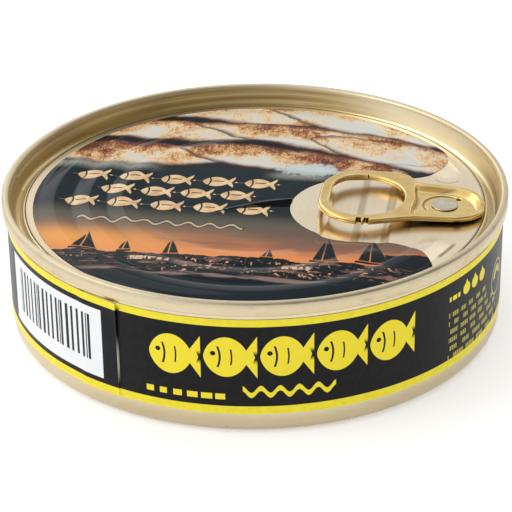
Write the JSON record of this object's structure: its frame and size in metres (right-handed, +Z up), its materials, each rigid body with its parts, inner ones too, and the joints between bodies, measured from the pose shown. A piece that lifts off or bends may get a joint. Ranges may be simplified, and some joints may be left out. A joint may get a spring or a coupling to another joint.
{
  "type": "tin of sprats",
  "caption": "Low round steel fish tin, shut: double-seamed easy-open lid with a ring pull, printed film stuck on the lid and a paper band round the side.",
  "frame": {"origin": "centre of the underside, on the surface that the tin stands on", "axes": "+Z up along the tin's axis; the ring pull lies along +X, its nose outwards"},
  "size_m": [0.1023, 0.1022, 0.0285],
  "materials": {
    "can_steel": "satin champagne lacquer on steel",
    "lid_steel": "satin champagne lacquer on steel",
    "film_print": "glossy printed film",
    "label_paper": "satin coated paper, printed black and yellow",
    "tab_lacquer": "satin gold lacquer",
    "rivet_steel": "satin bare metal"
  },
  "bodies": {
    "root": {"can_body": "can_steel", "lid": "lid_steel", "lid_film": "film_print", "side_label": "label_paper", "pull_tab": "tab_lacquer", "rivet": "rivet_steel"}
  },
  "joints": []
}
